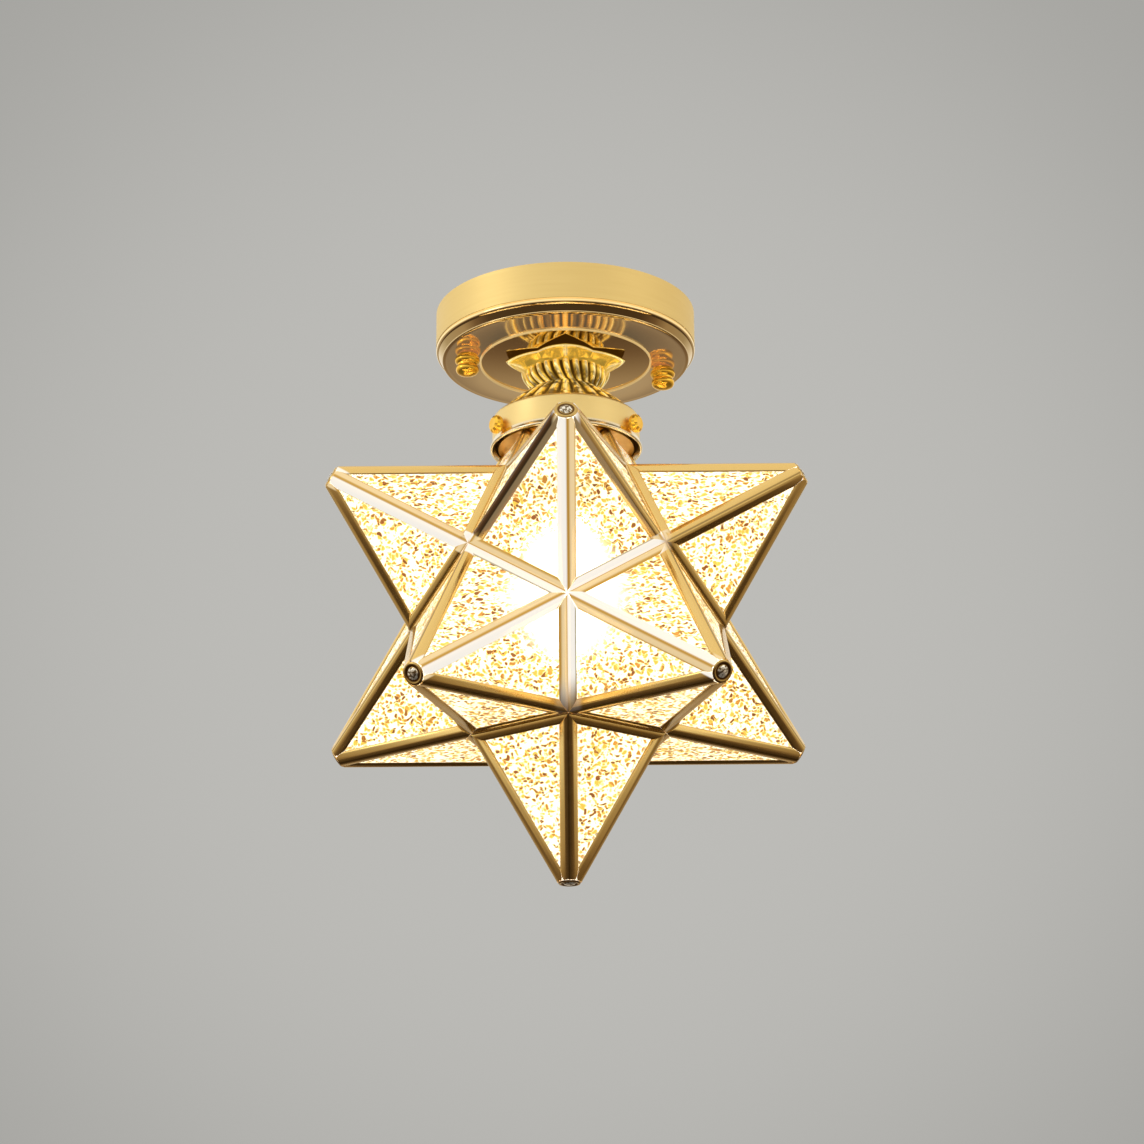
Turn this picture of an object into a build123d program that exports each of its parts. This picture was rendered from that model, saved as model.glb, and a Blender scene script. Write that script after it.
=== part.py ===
from build123d import *

import os
from math import atan, cos, pi, radians, sin, sqrt, tan

# Star-shaped glass ceiling light. Millimetres, +Z up, origin on the ceiling at the centre of the crossbar.
# Everything hangs below the ceiling, and the crossbar lies along X.

# Crossbar that is screwed to the ceiling
BAR_LENGTH = 92.0
BAR_WIDTH = 18.0
BAR_THICK = 2.0
SLOT_SPACING = 56.0
SLOT_LENGTH = 14.0
SLOT_WIDTH = 5.0
WIRE_HOLE_D = 14.0
STUD_EDGE = 4.5
STUD_D = 4.0
STUD_GRIP = 6.5
STUD_NUT_FLATS = 7.0
STUD_NUT_H = 3.2
EARTH_X = -14.0
EARTH_HEAD_D = 7.0
EARTH_HEAD_H = 2.4
BLOCK_X = 14.0
BLOCK_SIZE = (12.0, 16.0, 8.0)
LEAD_D = 2.2
LEAD_PITCH = 3.2

# Ceiling canopy and its two knob nuts
CANOPY_D = 108.0
CANOPY_DEPTH = 21.0
CANOPY_WALL = 0.9
SHOULDER_R = 5.0
SHOULDER_STEPS = 4
TIER_STEP = 1.0
KNOB_D = 10.4
KNOB_H = 9.0
KNOB_SHAPE = ((0, 0), (0.8, 0), (1, 0.15), (1, 0.34), (0.74, 0.48), (0.9, 0.68), (0.5, 1), (0, 1))
KNOB_MARGIN = 0.5

# Hollow threaded rod that holds the stack together
ROD_D = 10.0
ROD_BORE = 7.0
ROD_ABOVE_NUT = 2.0
NUT_FLATS = 14.0
NUT_H = 3.5
WASHER_D = 20.0
WASHER_T = 1.0

# Cast neck: leaf rosette, fluted knop, fluted bell
ROSETTE_H = 3.0
LEAF_COUNT = 5
LEAF_TIP_D = 52.4
LEAF_TOP_D = 48.8
LEAF_LOW_D = 37.6
LEAF_ROOT_D = 39.0
LEAF_RIM_DROP = 0.7
KNOP_H = 9.0
KNOP_D = 33.6
KNOP_FLUTES = 24
KNOP_SHAPE = ((0.72, 0), (0.93, 0.14), (1, 0.3), (0.88, 0.52), (0.5, 0.76), (0, 1))
WAIST_D = 27.0
BELL_H = 12.8
BELL_D = 57.2
BELL_FLUTES = 32
BELL_STEPS = 5
BELL_CURVE = 0.3
FLUTE_RATIO = 0.94

# Gallery: the cup whose thumbscrews hold the star
GALLERY_D = 61.0
GALLERY_H = 14.0
GALLERY_WALL = 0.9
GALLERY_EDGE_R = 1.6
LIP_H = 2.2
LIP_FLARE = 1.0
SCREW_COUNT = 3
SCREW_D = 4.0
SCREW_DROP = 8.6
SCREW_REACH = 2.2
HEAD_D = 7.8
HEAD_L = 4.0
HEAD_RIBS = 14
HEAD_SHAPE = ((0.7, 0), (0.94, 0.2), (1, 0.5), (0.94, 0.8), (0.66, 1))

# Star of glass points
LAMP_TURN = -11.0
STAR_EDGE = 47.5
GLASS_T = 3.0
RIDGE_INSET = 2.1
VALLEY_INSET = 0.3
STRIP_W = 4.1
STRIP_T = 0.9
STRIP_EDGE = 0.25
STRIP_CREASE = 0.5
TIP_D = 8.74
TIP_CAP_H = 1.1
TIP_CAP_TAPER = 45.0
NECK_ABOVE_LIP = 0.5
RING_FLANGE_T = 1.2
RING_WALL = 1.2

# Lampholder and candle lamp with a small screw cap
HOLDER_D = 28.0
HOLDER_H = 36.0
HOLDER_GRIP = 6.0
HOLDER_EDGE = 1.6
CHAMBER_H = 4.0
INSERT_H = 2.5
SPRING_H = 1.2
SPRING_D = 5.0
SHELL_D = 15.4
SHELL_WALL = 0.5
CAP_D = 13.9
CAP_H = 20.0
CAP_WALL = 0.3
CAP_GLASS_H = 2.3
CAP_CONTACT_D = 4.6
CAP_CONTACT_H = 1.2
BULB_D = 35.0
BULB_L = 75.0
BULB_WALL = 0.8
CANDLE_SHAPE = ((0.72, 0.17), (0.95, 0.31), (1, 0.42), (0.92, 0.58), (0.66, 0.78), (0.3, 0.95), (0, 1))
STEM_D = 3.0
SPOOL_D = 10.0
SPOOL_T = 0.8
FILAMENT_D = 1.3
FILAMENT_L = 34.0
FILAMENT_COUNT = 4
FILAMENT_START = 14.0

# Clearances
THREAD_GAP = 0.05
HOLE_GAP = 0.3
PANE_GAP = 0.1
MITRE_GAP = 0.1
SCREW_TIP_GAP = 0.3
NECK_GAP = 0.3
RING_TOP_GAP = 0.8
HEAD_GAP = 0.5
SHELL_GAP = 0.2
CONTACT_GAP = 0.1
CAP_GLASS_GAP = 0.1

# Levels of the stack, from the ceiling down
stud_x = BAR_LENGTH / 2 - STUD_EDGE
canopy_low = -CANOPY_DEPTH
tier_low = canopy_low - TIER_STEP
tier_high = tier_low + CANOPY_WALL
nut_low = tier_high + WASHER_T
rod_high = nut_low + NUT_H + ROD_ABOVE_NUT
knop_high = tier_low - ROSETTE_H
bell_high = knop_high - KNOP_H
gallery_high = bell_high - BELL_H
gallery_low = gallery_high - GALLERY_H
gallery_roof = gallery_high - GALLERY_WALL
holder_high = gallery_roof - NUT_H
rod_low = holder_high - HOLDER_GRIP
insert_high = rod_low - CHAMBER_H
spring_high = insert_high - INSERT_H
bulb_high = spring_high - SPRING_H - CONTACT_GAP
screw_z = gallery_high - SCREW_DROP

rod_hole_r = ROD_D / 2 + HOLE_GAP
gallery_in_r = GALLERY_D / 2 - GALLERY_WALL
ring_r = gallery_in_r - SCREW_REACH

# Sizes of the star, all worked out from its inner edge
GOLDEN = (1 + sqrt(5)) / 2
FOLD = atan(GOLDEN)
TIP_HALF = radians(18)
base_apothem = STAR_EDGE / (2 * tan(pi / 5))
base_r = STAR_EDGE / (2 * sin(pi / 5))
base_z = STAR_EDGE * GOLDEN**2 / (2 * sqrt(3 - GOLDEN))
apex_z = base_z + 2 * base_apothem
valley_r = STAR_EDGE * GOLDEN**2 / 2
ridge_slope = base_r / (apex_z - base_z)
strip_rise = STRIP_T / sin(FOLD) * sqrt(1 + ridge_slope**2)
tip_r = apex_z - TIP_D / 2 / ridge_slope
neck_cut = apex_z - (gallery_in_r - NECK_GAP - strip_rise) / ridge_slope
star_z = gallery_low + NECK_ABOVE_LIP - neck_cut
pane_in_r = (apex_z - neck_cut) / 2 - (PANE_GAP + GLASS_T) * sqrt(5) / 2

BASE = (Align.CENTER, Align.CENTER, Align.MIN)
TOP = (Align.CENTER, Align.CENTER, Align.MAX)


def save(name, *solids):
    """One file for each node, which may hold several like solids."""
    export_step(Compound(list(solids)), f"parts/{name}.step")


def rod(diameter, high, low, x=0.0, y=0.0):
    return Pos(x, y, high) * Cylinder(diameter / 2, high - low, align=TOP)


def turned(*points):
    """A lathe piece from a closed outline of radius and height."""
    return revolve(Plane.XZ * make_face(Polyline(*points, close=True)), Axis.Z)


def hex_nut(flats, hole_d, high, height, x=0.0):
    blank = extrude(RegularPolygon(flats / 2, 6, major_radius=False), height)
    return Pos(x, 0, high - height) * (blank - Cylinder(hole_d / 2, height, align=BASE))


def fluted(levels, count, ratio):
    """A ribbed lathe form: like star outlines, one at each (radius, height), joined by flat faces."""
    rings = []
    for radius, z in levels:
        ring = []
        for i in range(2 * count):
            r = radius * (ratio if i % 2 else 1.0)
            ring.append(Vector(r * cos(pi * i / count), r * sin(pi * i / count), z))
        rings.append(ring)
    outlines = [rings[0], rings[-1]]
    for low, high in zip(rings, rings[1:]):
        for i in range(2 * count):
            outlines.append([low[i - 1], low[i], high[i], high[i - 1]])
    return Solid(Shell([Face(Wire.make_polygon(outline)) for outline in outlines]))


def mount_pieces():
    """Crossbar, its studs and nuts, the earth screw and the terminal block."""
    bar = extrude(SlotOverall(BAR_LENGTH, BAR_WIDTH), -BAR_THICK)
    slot = extrude(SlotOverall(SLOT_LENGTH, SLOT_WIDTH), -BAR_THICK)
    stud_hole = STUD_D + 2 * THREAD_GAP
    for side in (-1, 1):
        bar -= Pos(side * SLOT_SPACING / 2, 0, 0) * slot
        bar -= rod(stud_hole, 0, -BAR_THICK, side * stud_x)
    bar -= rod(WIRE_HOLE_D, 0, -BAR_THICK)
    bar -= rod(stud_hole, 0, -BAR_THICK, EARTH_X)
    save("crossbar", bar)

    stud_low = canopy_low - STUD_GRIP
    xs = (-stud_x, stud_x)
    save("canopy_studs", *[rod(STUD_D, 0, stud_low, x) for x in xs])
    save("stud_nuts", *[hex_nut(STUD_NUT_FLATS, stud_hole, -BAR_THICK, STUD_NUT_H, x) for x in xs])

    head = rod(EARTH_HEAD_D, -BAR_THICK, -BAR_THICK - EARTH_HEAD_H, EARTH_X)
    save("earth_screw", head + rod(STUD_D, 0, -BAR_THICK, EARTH_X))

    block = Pos(BLOCK_X, 0, -BAR_THICK) * Box(*BLOCK_SIZE, align=TOP)
    save("terminal_block", block)


def leads():
    """Two insulated leads from the terminal block down the hollow rod into the lampholder."""
    level = -BAR_THICK - BLOCK_SIZE[2] / 2
    start_x = BLOCK_X - BLOCK_SIZE[0] / 2
    for name, side in (("lead_live", 1), ("lead_neutral", -1)):
        y = side * LEAD_PITCH / 2
        path = FilletPolyline((start_x, y, level), (0, y, level), (0, y, insert_high), radius=0.45 * start_x)
        section = Plane((start_x, y, level), z_dir=(-1, 0, 0)) * Circle(LEAD_D / 2)
        save(name, sweep(section, path=path))


def canopy():
    """Spun pan with a rounded shoulder and a shallow inner tier."""
    shell_r = CANOPY_D / 2
    tier_r = stud_x - KNOB_D / 2 - KNOB_MARGIN

    def pan(wall, tier_z):
        low = canopy_low + wall
        centre_r = shell_r - SHOULDER_R
        centre_z = canopy_low + SHOULDER_R
        turns = [pi / 2 * i / SHOULDER_STEPS for i in range(SHOULDER_STEPS + 1)]
        bend = SHOULDER_R - wall
        shoulder = [(centre_r + bend * cos(a), centre_z - bend * sin(a)) for a in turns]
        tier = [(tier_r, low), (tier_r - TIER_STEP, tier_z), (0, tier_z)]
        return turned((0, 0), (shell_r - wall, 0), *shoulder, *tier)

    outside = pan(0, tier_low)
    inside = pan(CANOPY_WALL, tier_high)
    shell = outside - inside - rod(2 * rod_hole_r, 0, tier_low)
    for x in (-stud_x, stud_x):
        shell -= rod(STUD_D + 2 * HOLE_GAP, 0, canopy_low, x)
    save("canopy", shell)


def knob_nuts():
    """Two turned ball nuts, each a pair of beads over a blind tapped hole."""
    r = KNOB_D / 2
    hole = rod(STUD_D + 2 * THREAD_GAP, 0, -STUD_GRIP - HOLE_GAP)
    knob = turned(*[(r * across, -KNOB_H * down) for across, down in KNOB_SHAPE]) - hole
    for name, side in (("knob_left", -1), ("knob_right", 1)):
        save(name, Pos(side * stud_x, 0, canopy_low) * knob)


def rod_stack():
    """Hollow rod, the nut and washer that clamp it in the canopy, and the nut under the gallery's roof."""
    save("threaded_rod", rod(ROD_D, rod_high, rod_low) - rod(ROD_BORE, rod_high, rod_low))
    nut_hole = ROD_D + 2 * THREAD_GAP
    save("canopy_nut", hex_nut(NUT_FLATS, nut_hole, nut_low + NUT_H, NUT_H))
    save("gallery_nut", hex_nut(NUT_FLATS, nut_hole, gallery_roof, NUT_H))
    save("lock_washer", rod(WASHER_D, nut_low, tier_high) - rod(2 * rod_hole_r, nut_low, tier_high))


def neck():
    """Leaf rosette, fluted knop and fluted bell, threaded on the rod between canopy and gallery."""
    bore = rod(2 * rod_hole_r, 0, gallery_high)
    turn = Rot(0, 0, LAMP_TURN - 90)
    leaf_levels = [
        (LEAF_TOP_D / 2, tier_low),
        (LEAF_TIP_D / 2, tier_low - LEAF_RIM_DROP),
        (LEAF_LOW_D / 2, knop_high),
    ]
    rosette = fluted(leaf_levels, LEAF_COUNT, LEAF_ROOT_D / LEAF_TIP_D)
    rosette += rod(KNOP_D, tier_low, knop_high)
    save("leaf_rosette", turn * (rosette - bore))

    waist_r = WAIST_D / 2
    levels = []
    for bulge, down in KNOP_SHAPE:
        levels.append((waist_r + bulge * (KNOP_D / 2 - waist_r), knop_high - down * KNOP_H))
    save("neck_knop", turn * (fluted(levels, KNOP_FLUTES, FLUTE_RATIO) - bore))

    levels = []
    for i in range(BELL_STEPS + 1):
        down = i / BELL_STEPS
        bulge = down + BELL_CURVE * (down - down**2)
        levels.append((waist_r + bulge * (BELL_D / 2 - waist_r), bell_high - down * BELL_H))
    save("neck_bell", turn * (fluted(levels, BELL_FLUTES, FLUTE_RATIO) - bore))


def gallery():
    """Open-bottomed cup with a flared lip and a tapped hole for each thumbscrew."""
    r = GALLERY_D / 2
    lip_high = gallery_low + LIP_H
    flare_out = r + LIP_FLARE
    flare_in = gallery_in_r + LIP_FLARE
    cup = turned(
        (rod_hole_r, gallery_high),
        (r - GALLERY_EDGE_R, gallery_high),
        (r, gallery_high - GALLERY_EDGE_R),
        (r, lip_high),
        (flare_out, gallery_low + LIP_H / 3),
        (flare_out, gallery_low),
        (flare_in, gallery_low),
        (gallery_in_r, lip_high - LIP_H / 3),
        (gallery_in_r, gallery_roof - GALLERY_EDGE_R),
        (gallery_in_r - GALLERY_EDGE_R, gallery_roof),
        (rod_hole_r, gallery_roof),
    )
    hole = Cylinder(SCREW_D / 2 + THREAD_GAP, flare_out, align=BASE)
    for turn in screw_turns():
        cup -= turn * hole
    save("gallery", cup)


def screw_turns():
    """Places for the thumbscrews: local +Z points outwards, and the first one faces the back."""
    return [
        Pos(0, 0, screw_z) * Rot(0, 0, LAMP_TURN + 90 + 360 * i / SCREW_COUNT) * Rot(0, 90, 0)
        for i in range(SCREW_COUNT)
    ]


def thumbscrews():
    """Ribbed ball heads on short threaded shanks that press on the star's neck ring."""
    tip = ring_r + SCREW_TIP_GAP
    seat = GALLERY_D / 2 + HEAD_GAP
    levels = [(HEAD_D / 2 * across, seat + out * HEAD_L) for across, out in HEAD_SHAPE]
    head = fluted(levels, HEAD_RIBS, FLUTE_RATIO)
    screw = head + Pos(0, 0, tip) * Cylinder(SCREW_D / 2, seat - tip, align=BASE)
    for i, turn in enumerate(screw_turns()):
        save(f"thumbscrew_{i + 1}", turn * screw)


def lampholder():
    """Moulded sleeve on the rod's lower end, with an insert, a centre contact and a screw shell."""
    holder_low = holder_high - HOLDER_H
    shell_in = SHELL_D - 2 * SHELL_WALL
    r = HOLDER_D / 2
    body = turned(
        (0, holder_high),
        (r - HOLDER_EDGE, holder_high),
        (r, holder_high - HOLDER_EDGE),
        (r, holder_low),
        (0, holder_low),
    )
    body -= rod(ROD_D + 2 * THREAD_GAP, holder_high, rod_low)
    body -= rod(shell_in, rod_low, insert_high)
    body -= rod(SHELL_D + 2 * SHELL_GAP, insert_high, holder_low)
    save("lampholder_body", body)
    save("lampholder_insert", rod(SHELL_D, insert_high, spring_high))
    save("lampholder_contact", rod(SPRING_D, spring_high, spring_high - SPRING_H))
    save("lampholder_shell", rod(SHELL_D, spring_high, holder_low) - rod(shell_in, spring_high, holder_low))


def bulb():
    """Candle lamp: glass envelope, screw cap, cap glass, end contact, stem and filaments."""
    glass_high = bulb_high - CAP_CONTACT_H
    cap_high = glass_high - CAP_GLASS_H
    cap_low = cap_high - CAP_H
    cap_r = CAP_D / 2
    save("bulb_contact", rod(CAP_CONTACT_D, bulb_high, glass_high))
    contact_r = CAP_CONTACT_D / 2
    insulator = turned((0, glass_high), (contact_r, glass_high), (cap_r - CAP_WALL, cap_high), (0, cap_high))
    save("bulb_insulator", insulator)
    cup = rod(CAP_D, cap_high, cap_low) - rod(CAP_D - 2 * CAP_WALL, cap_high - CAP_WALL, cap_low)
    save("bulb_cap", cup - rod(SPOOL_D, cap_high, cap_high - CAP_WALL))

    neck_r = cap_r - CAP_WALL - CAP_GLASS_GAP
    neck_high = cap_low + 2 * CAP_GLASS_H

    def envelope(wall, top):
        belly_r = BULB_D / 2 - wall
        length = cap_low - neck_high + BULB_L - wall
        outline = [(0, top), (neck_r - wall, top), (neck_r - wall, cap_low)]
        outline += [(belly_r * across, cap_low - length * down) for across, down in CANDLE_SHAPE]
        return turned(*outline)

    save("bulb_glass", envelope(0, neck_high) - envelope(BULB_WALL, neck_high + BULB_WALL))

    spool_high = neck_high - FILAMENT_START
    spool_low = spool_high - SPOOL_T - FILAMENT_L
    stem = rod(STEM_D, cap_high, spool_low - SPOOL_T)
    for high in (spool_high, spool_low):
        stem += rod(SPOOL_D, high, high - SPOOL_T)
    save("bulb_stem", stem)
    ring = (SPOOL_D - FILAMENT_D) / 2
    sticks = []
    for i in range(FILAMENT_COUNT):
        angle = 2 * pi * i / FILAMENT_COUNT
        sticks.append(rod(FILAMENT_D, spool_high - SPOOL_T, spool_low, ring * cos(angle), ring * sin(angle)))
    save("bulb_filaments", *sticks)


def pane():
    """One golden-triangle pane of a point whose axis is +Z, its base edge towards +X."""
    meet_y = RIDGE_INSET / sin(TIP_HALF)
    tip_y = max((apex_z - tip_r + MITRE_GAP) * sqrt(5) / 2, meet_y + MITRE_GAP)
    base_y = base_apothem * sqrt(5) - VALLEY_INSET

    def half_width(y):
        return (y - meet_y) * tan(TIP_HALF)

    face = Plane((0, 0, apex_z), x_dir=(0, 1, 0), z_dir=(2, 0, 1)).offset(-PANE_GAP)
    a, b = half_width(tip_y), half_width(base_y)
    outline = make_face(Polyline((-a, -tip_y), (a, -tip_y), (b, -base_y), (-b, -base_y), close=True))
    return extrude(face * outline, -GLASS_T)


def strip_profile(side):
    """Folded strip section with two half-round flanges: side is 1 over a ridge and -1 in a valley.

    Local Y points out of the star.
    """
    crease = (0, STRIP_CREASE / sin(FOLD))
    edges = []
    for flip in (-1, 1):
        along = Vector(flip * sin(FOLD), -side * cos(FOLD))
        out = Vector(flip * side * cos(FOLD), sin(FOLD))
        foot = along * STRIP_W
        lip = foot + out * STRIP_EDGE
        crown = along * (STRIP_W / 2) + out * STRIP_T
        edges += [Line((0, 0), foot), Line(foot, lip), ThreePointArc(lip, crown, crease)]
    return make_face(edges)


def mitred(strip, corner, inward, axis, half_angle):
    """Cuts a strip's end to a wedge about an axis through the corner, open towards the inward direction."""
    middle = inward - axis * inward.dot(axis)
    middle = middle.normalized()
    across = axis.cross(middle)
    for side in (-1, 1):
        keep = middle * sin(half_angle) + across * (side * cos(half_angle))
        plane = Plane(corner + keep * (MITRE_GAP / 2), z_dir=keep)
        strip = split(strip, bisect_by=plane, keep=Keep.TOP)
    return strip


def ridge_strip():
    """Strip over one ridge of a point whose axis is +Z, running from the apex down towards +X."""
    apex = Vector(0, 0, apex_z)
    foot = Vector(base_r, 0, base_z)
    run = foot - apex
    section = Plane(apex, x_dir=(0, 1, 0), z_dir=run) * strip_profile(1)
    strip = extrude(section, run.length + STRIP_W)
    strip = mitred(strip, apex, run, Vector(0, 0, 1), pi / 5)
    strip = mitred(strip, foot, -run, foot.normalized(), pi / 6)
    return split(strip, bisect_by=Plane((0, 0, tip_r), z_dir=(0, 0, -1)), keep=Keep.TOP)


def valley_strip():
    """Strip along one inner edge that is centred on +Z and runs along X."""
    half = STAR_EDGE / 2
    start = Vector(-half - STRIP_W, 0, valley_r)
    section = Plane(start, x_dir=(0, 1, 0), z_dir=(1, 0, 0)) * strip_profile(-1)
    strip = extrude(section, STAR_EDGE + 2 * STRIP_W)
    for side in (-1, 1):
        corner = Vector(side * half, 0, valley_r)
        strip = mitred(strip, corner, Vector(-side, 0, 0), corner.normalized(), pi / 6)
    return strip


def tip_directions():
    """Names and unit directions of the twelve points. The first of the upper ring faces the front, -Y."""
    tips = {"top": Vector(0, 0, 1), "bottom": Vector(0, 0, -1)}
    high = 1 / sqrt(5)
    for ring, level, first in (("upper", high, -90), ("lower", -high, -54)):
        for i in range(5):
            angle = radians(first + 72 * i)
            tips[f"{ring}_{i + 1}"] = Vector(2 * high * cos(angle), 2 * high * sin(angle), level)
    return tips


def star():
    """Twelve points of five panes, a folded strip on every ridge and valley, tip caps and a neck ring."""
    place = Pos(0, 0, star_z) * Rot(0, 0, LAMP_TURN)
    tips = tip_directions()
    master_pane = pane()
    master_ridge = ridge_strip()
    below_neck = Plane((0, 0, neck_cut), z_dir=(0, 0, -1))

    cap_base = RegularPolygon((TIP_D + STRIP_T) / 2, 5, rotation=36)
    master_cap = Pos(0, 0, tip_r) * extrude(cap_base, TIP_CAP_H, taper=TIP_CAP_TAPER)

    caps = []
    valleys = []
    master_valley = valley_strip()
    for name, tip in tips.items():
        neighbours = [other for other in tips.values() if 0 < other.dot(tip) < cos(TIP_HALF)]
        first = neighbours[0]
        point = Plane((0, 0, 0), x_dir=first - tip * first.dot(tip), z_dir=tip).location
        panes = [point * Rot(0, 0, 72 * i) * master_pane for i in range(5)]
        ridges = [point * Rot(0, 0, 72 * i + 36) * master_ridge for i in range(5)]
        if name == "top":
            panes = [split(p, bisect_by=below_neck, keep=Keep.TOP) for p in panes]
            ridges = [split(r, bisect_by=below_neck, keep=Keep.TOP) for r in ridges]
        else:
            caps.append(place * point * master_cap)
        save(f"panes_{name}", *[place * p for p in panes])
        save(f"ridges_{name}", *[place * r for r in ridges])
        for other in neighbours:
            along = tip.cross(other)
            if (along.Z, along.Y, along.X) > (-along.Z, -along.Y, -along.X):
                edge = Plane((0, 0, 0), x_dir=along, z_dir=tip + other).location
                valleys.append(place * edge * master_valley)
    save("tip_caps", *caps)
    save("valley_strips", *valleys)

    flange_r = (apex_z - neck_cut) * ridge_slope
    flange_high = neck_cut + RING_FLANGE_T
    ring_high = gallery_roof - RING_TOP_GAP - star_z
    ring = turned(
        (pane_in_r, neck_cut),
        (flange_r, neck_cut),
        (flange_r, flange_high),
        (ring_r, flange_high),
        (ring_r, ring_high),
        (ring_r - RING_WALL, ring_high),
        (ring_r - RING_WALL, flange_high),
        (pane_in_r, flange_high),
    )
    save("neck_ring", place * ring)


os.makedirs("parts", exist_ok=True)
mount_pieces()
leads()
canopy()
knob_nuts()
rod_stack()
neck()
gallery()
thumbscrews()
lampholder()
bulb()
star()
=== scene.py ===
"""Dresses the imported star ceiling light: glass, brass strips, cast neck, lamp and a plain studio."""

import itertools
import math

import bpy
from bpy.props import FloatProperty, FloatVectorProperty, IntProperty, PointerProperty
from mathutils import Matrix, Vector


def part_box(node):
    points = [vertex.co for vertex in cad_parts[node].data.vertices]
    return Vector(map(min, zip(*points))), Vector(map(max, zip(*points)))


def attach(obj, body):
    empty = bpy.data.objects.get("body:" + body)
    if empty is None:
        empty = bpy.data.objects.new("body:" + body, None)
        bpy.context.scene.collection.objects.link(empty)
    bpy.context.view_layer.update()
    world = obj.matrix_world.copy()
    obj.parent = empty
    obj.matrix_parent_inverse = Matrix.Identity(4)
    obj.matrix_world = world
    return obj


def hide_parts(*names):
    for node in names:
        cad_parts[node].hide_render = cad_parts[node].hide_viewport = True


bl_info = {
    "name": "Star ceiling light",
    "version": (1, 0, 0),
    "blender": (4, 5, 0),
    "location": "View3D > Sidebar > Star light",
    "description": "Builds the glass, strips, cast neck, lamp and stage of a star-shaped ceiling light",
    "category": "Object",
}

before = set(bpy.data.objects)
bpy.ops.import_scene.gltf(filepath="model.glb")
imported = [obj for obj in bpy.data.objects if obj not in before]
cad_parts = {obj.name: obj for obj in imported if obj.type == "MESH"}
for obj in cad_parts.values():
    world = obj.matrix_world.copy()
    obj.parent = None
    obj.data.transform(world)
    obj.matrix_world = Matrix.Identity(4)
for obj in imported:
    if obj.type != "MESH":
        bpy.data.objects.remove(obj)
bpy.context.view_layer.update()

GOLDEN = (1 + math.sqrt(5)) / 2
SLANT = math.sqrt(5) / 2  # length down a pane for each unit of height
FOLD = math.atan(GOLDEN)  # half the angle between two panes at a ridge
FIFTH = math.tau / 5
LAMP_TURN = math.radians(-11)
ROD_BORE = 0.0053
NECK_WAIST = 0.0135
STRIP_REACH = 0.0044  # how far a strip's face lies from its line
UV_LENGTH = 0.1  # length of strip for one unit of V
BLACK = (0, 0, 0, 1)
SKY = (
    (0.0, (0.04, 0.028, 0.018, 1)),
    (0.25, (0.09, 0.062, 0.04, 1)),
    (0.29, (0.19, 0.13, 0.085, 1)),
    (0.335, (0.41, 0.33, 0.24, 1)),
    (0.45, (0.47, 0.42, 0.34, 1)),
    (0.58, (0.95, 0.93, 0.89, 1)),
    (0.8, (0.96, 0.94, 0.9, 1)),
    (1.0, (1.0, 0.97, 0.92, 1)),
)


def level(node, end):
    """Height of a CAD node's lower (0) or upper (1) end."""
    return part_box(node)[end].z


def radius(node):
    """Radius of a round CAD node that is centred on the axis."""
    low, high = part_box(node)
    return (high.x - low.x) / 2


STAR_Z = (level("valley_strips", 0) + level("valley_strips", 1)) / 2
# The inner corner in front of the lamp; glass and strips round it get painted light
FRONT_CORNER = Vector((-0.0124, -0.0642, STAR_Z - 0.0125))
RIGHTWARD = Vector((math.cos(LAMP_TURN), math.sin(LAMP_TURN), 0))
FORWARD = Vector((math.sin(LAMP_TURN), -math.cos(LAMP_TURN), 0))


def tone(text):
    """A display colour such as "d8b060" as linear values."""
    parts = [int(text[i : i + 2], 16) / 255 for i in (0, 2, 4)]
    return tuple(p / 12.92 if p <= 0.04045 else ((p + 0.055) / 1.055) ** 2.4 for p in parts) + (1.0,)


def number_property(name, description, default, **kind):
    return FloatProperty(name=name, description=description, default=default, **kind)


def size_property(name, description, default):
    return number_property(name, description, default, unit="LENGTH")


def colour_property(name, description, default):
    return FloatVectorProperty(
        name=name, description=description, default=tone(default), subtype="COLOR", size=4
    )


class StarSizes(bpy.types.PropertyGroup):
    """Sizes of the glass star."""

    edge: size_property("Inner edge", "Length of each inner edge", 0.0475)
    glass: size_property("Glass", "Thickness of a pane", 0.003)
    seat: size_property("Seat", "Gap between a pane and its strips", 0.0001)
    ridge_inset: size_property("Ridge inset", "Pane edge to ridge", 0.0021)
    valley_inset: size_property("Valley inset", "Pane edge to valley", 0.0003)
    strip_w: size_property("Strip width", "Width of one flange", 0.0041)
    strip_t: size_property("Strip height", "Crown height of a flange", 0.0009)
    strip_edge: size_property("Strip edge", "Edge height of a flange", 0.00025)
    crease: size_property("Crease", "Metal at the fold", 0.0005)
    mitre: size_property("Mitre gap", "Gap at a mitre", 0.0001)
    tip: size_property("Tip width", "Width of a blunt tip", 0.00874)
    clear: size_property("Clear edge", "Plain glass by a strip", 0.0016)
    grid: IntProperty(name="Pane grid", description="Rows of facets over a pane", default=40, min=4)
    dimple: size_property("Dimple", "Width of a hammered dimple", 0.0032)
    depth: size_property("Dimple depth", "Depth of a dimple", 0.00028)


class FinishColours(bpy.types.PropertyGroup):
    """Colours of the finishes."""

    polished: colour_property("Polished brass", "Folded strips", "ebc87d")
    satin: colour_property("Satin brass", "Canopy wall and gallery", "f4d890")
    gilt: colour_property("Gilt", "Cast neck, knobs and screws", "ffd254")
    # Pale brass is a painted highlight: the gallery's lip, and the pale half of strips in the painted light
    pale: colour_property("Pale brass", "Lip of the gallery", "f6ecd2")
    patina: colour_property("Patina", "Dark brass in creases", "5a3a14")
    glow: colour_property("Glow", "Lit glass and lit strips", "fffaf0")


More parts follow.
